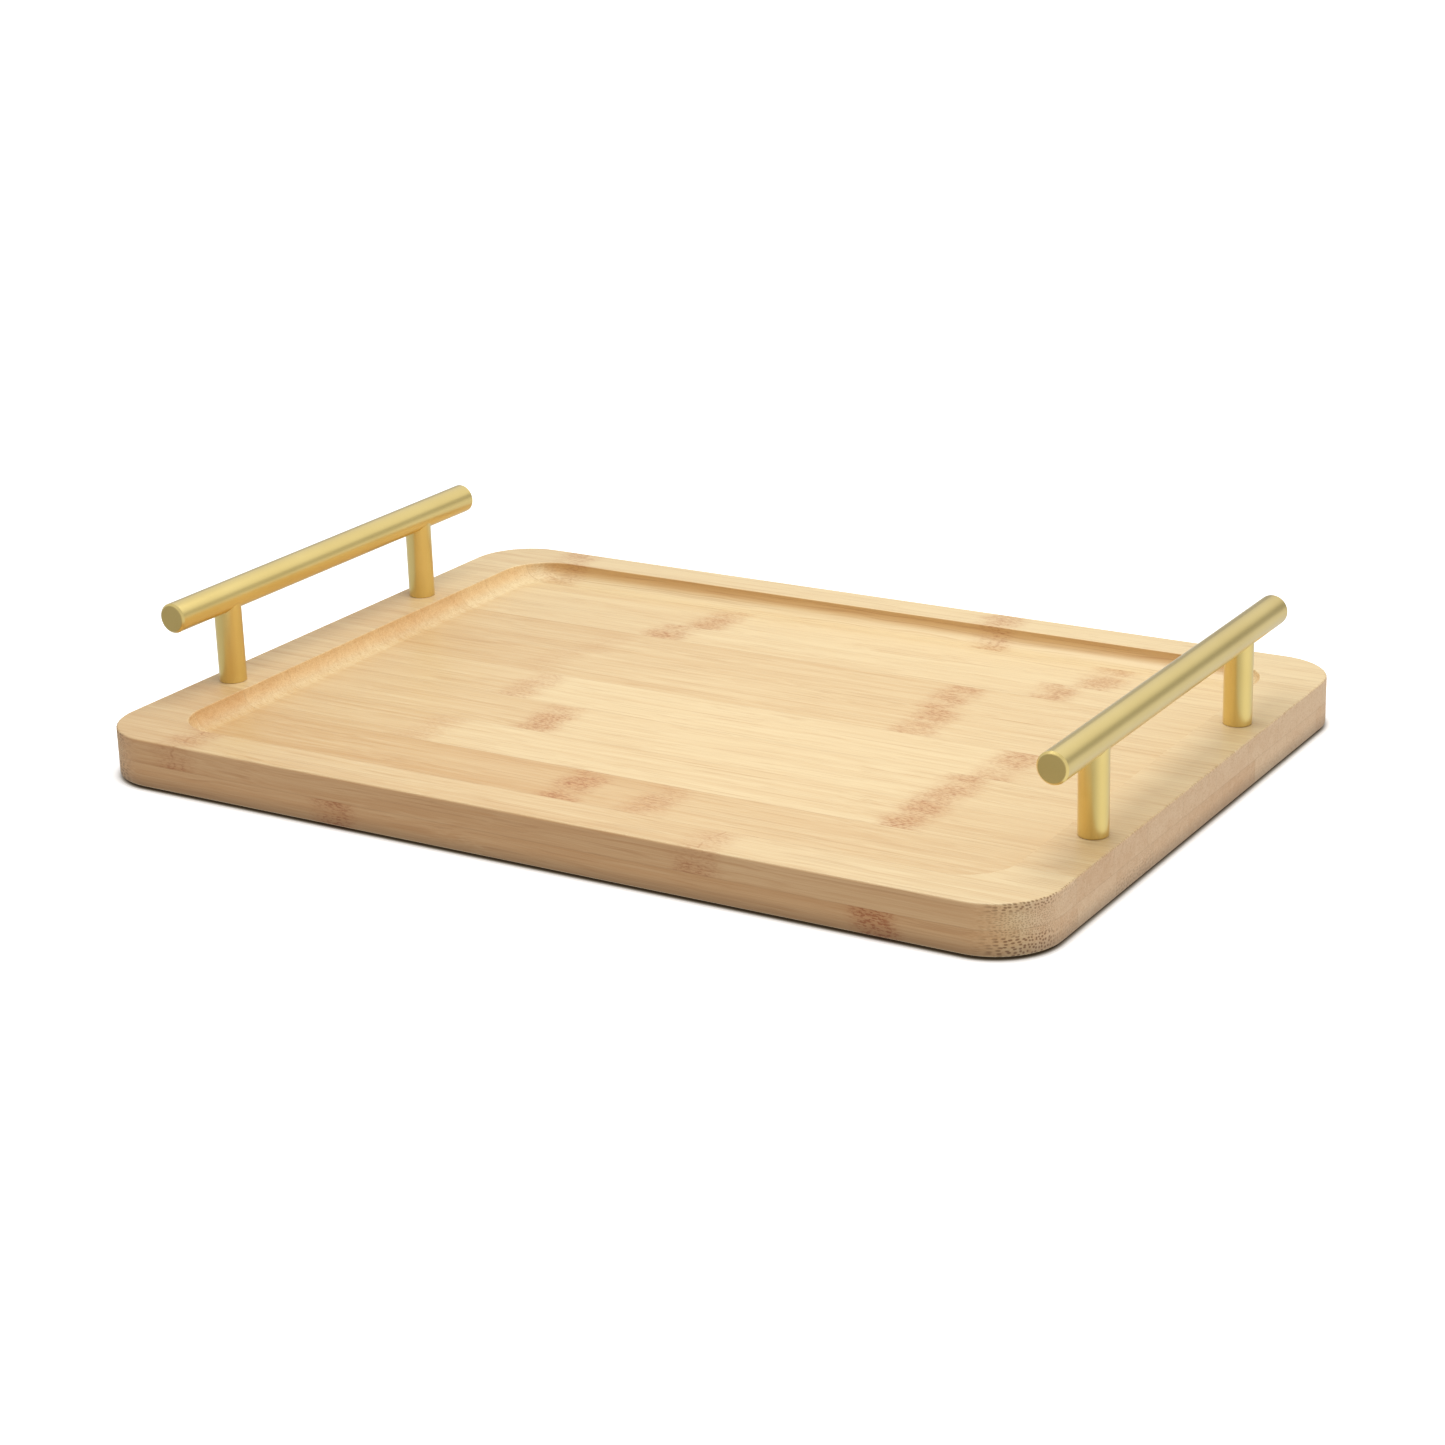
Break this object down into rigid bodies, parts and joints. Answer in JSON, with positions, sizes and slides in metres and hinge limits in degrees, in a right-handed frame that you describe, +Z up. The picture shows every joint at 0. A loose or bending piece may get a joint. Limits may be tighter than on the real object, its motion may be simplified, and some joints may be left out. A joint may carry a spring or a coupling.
{
  "type": "serving tray",
  "caption": "Flat rectangular serving tray of laminated bamboo with a shallow routed recess, rounded corners, and straight brass bar handles on posts across its short ends.",
  "frame": {"origin": "centre of the tray's outline, on the surface that its feet stand on", "axes": "+X along the long side to the right, +Y towards the back, +Z up"},
  "size_m": [0.4, 0.284, 0.0612],
  "materials": {
    "bamboo": "oiled natural bamboo, satin, flat-grain strips with node marks",
    "satin_brass": "pale satin brass with fine brushing, clear lacquer",
    "zinc_steel": "bright zinc plate",
    "rubber": "matte black, slightly grained"
  },
  "bodies": {
    "root": {"top_strip_01": "bamboo", "top_strip_02": "bamboo", "top_strip_03": "bamboo", "top_strip_04": "bamboo", "top_strip_05": "bamboo", "top_strip_06": "bamboo", "top_strip_07": "bamboo", "top_strip_08": "bamboo", "top_strip_09": "bamboo", "top_strip_10": "bamboo", "bottom_strip_01": "bamboo", "bottom_strip_02": "bamboo", "bottom_strip_03": "bamboo", "bottom_strip_04": "bamboo", "bottom_strip_05": "bamboo", "bottom_strip_06": "bamboo", "bottom_strip_07": "bamboo", "bottom_strip_08": "bamboo", "bottom_strip_09": "bamboo", "left_handle_bar": "satin_brass", "right_handle_bar": "satin_brass", "left_front_post": "satin_brass", "left_back_post": "satin_brass", "right_front_post": "satin_brass", "right_back_post": "satin_brass", "left_front_foot": "rubber", "left_back_foot": "rubber", "right_front_foot": "rubber", "right_back_foot": "rubber", "handle_screws": "zinc_steel", "handle_washers": "zinc_steel", "post_studs": "zinc_steel"}
  },
  "joints": []
}
